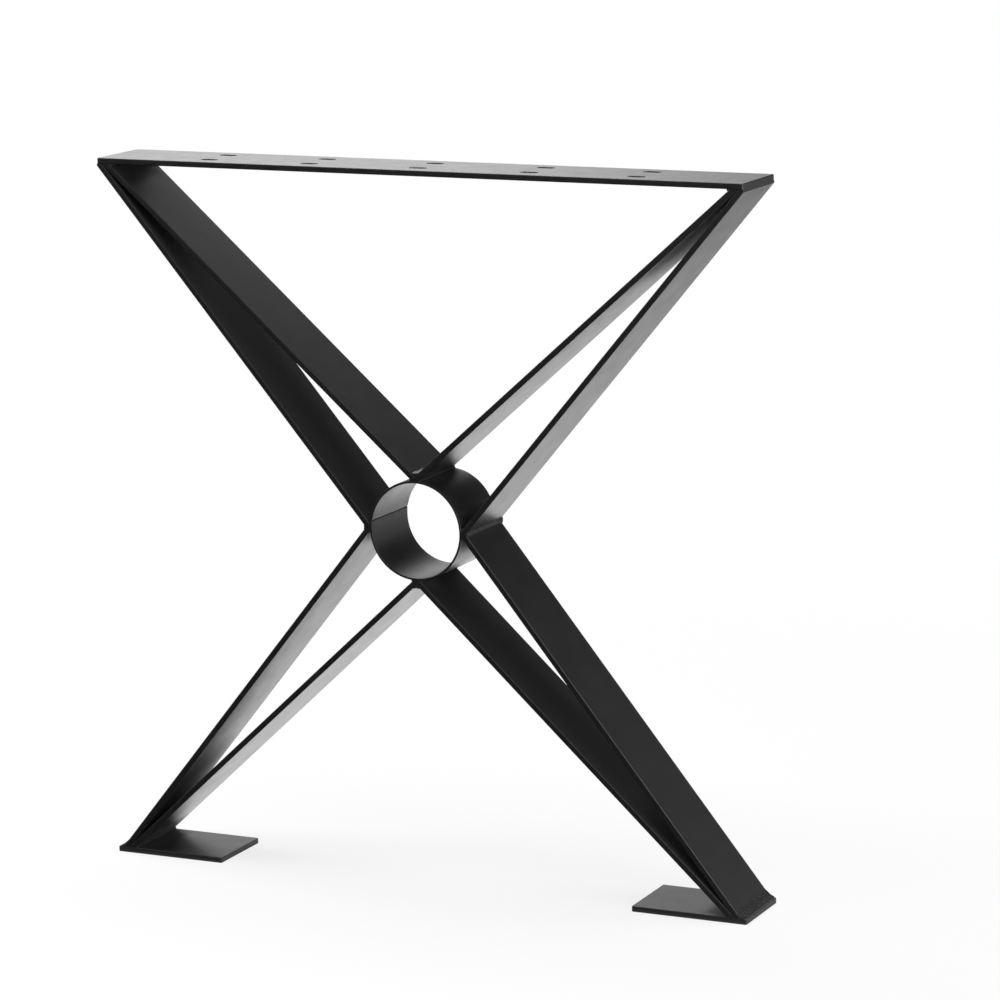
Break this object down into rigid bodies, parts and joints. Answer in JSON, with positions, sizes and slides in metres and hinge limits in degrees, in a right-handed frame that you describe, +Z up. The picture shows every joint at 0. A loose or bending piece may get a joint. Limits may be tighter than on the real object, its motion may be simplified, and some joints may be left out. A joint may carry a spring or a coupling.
{
  "type": "coffee table leg",
  "caption": "Welded flat-bar X leg for a low table: mitred struts meet round a centre ring, with a slotted plate on top to screw to the table and flat feet below.",
  "frame": {"origin": "on the floor, midway between the feet and between front and back", "axes": "+X along the top plate, +Y from front to back, +Z up to the table top"},
  "size_m": [0.3872, 0.045, 0.4],
  "materials": {
    "powder_coat": "satin black"
  },
  "bodies": {
    "root": {"centre_ring": "powder_coat", "foot_plate_left": "powder_coat", "foot_plate_right": "powder_coat", "foot_weld_left": "powder_coat", "foot_weld_right": "powder_coat", "ledge_weld_left": "powder_coat", "ledge_weld_right": "powder_coat", "lower_inner_ring_weld_left": "powder_coat", "lower_inner_ring_weld_right": "powder_coat", "lower_inner_strut_left": "powder_coat", "lower_inner_strut_right": "powder_coat", "lower_outer_ring_weld_left": "powder_coat", "lower_outer_ring_weld_right": "powder_coat", "lower_outer_strut_left": "powder_coat", "lower_outer_strut_right": "powder_coat", "plate_weld_left": "powder_coat", "plate_weld_right": "powder_coat", "top_plate": "powder_coat", "upper_inner_ring_weld_left": "powder_coat", "upper_inner_ring_weld_right": "powder_coat", "upper_inner_strut_left": "powder_coat", "upper_inner_strut_right": "powder_coat", "upper_outer_ring_weld_left": "powder_coat", "upper_outer_ring_weld_right": "powder_coat", "upper_outer_strut_left": "powder_coat", "upper_outer_strut_right": "powder_coat", "valley_weld_bottom": "powder_coat", "valley_weld_left": "powder_coat", "valley_weld_right": "powder_coat", "valley_weld_top": "powder_coat"}
  },
  "joints": []
}
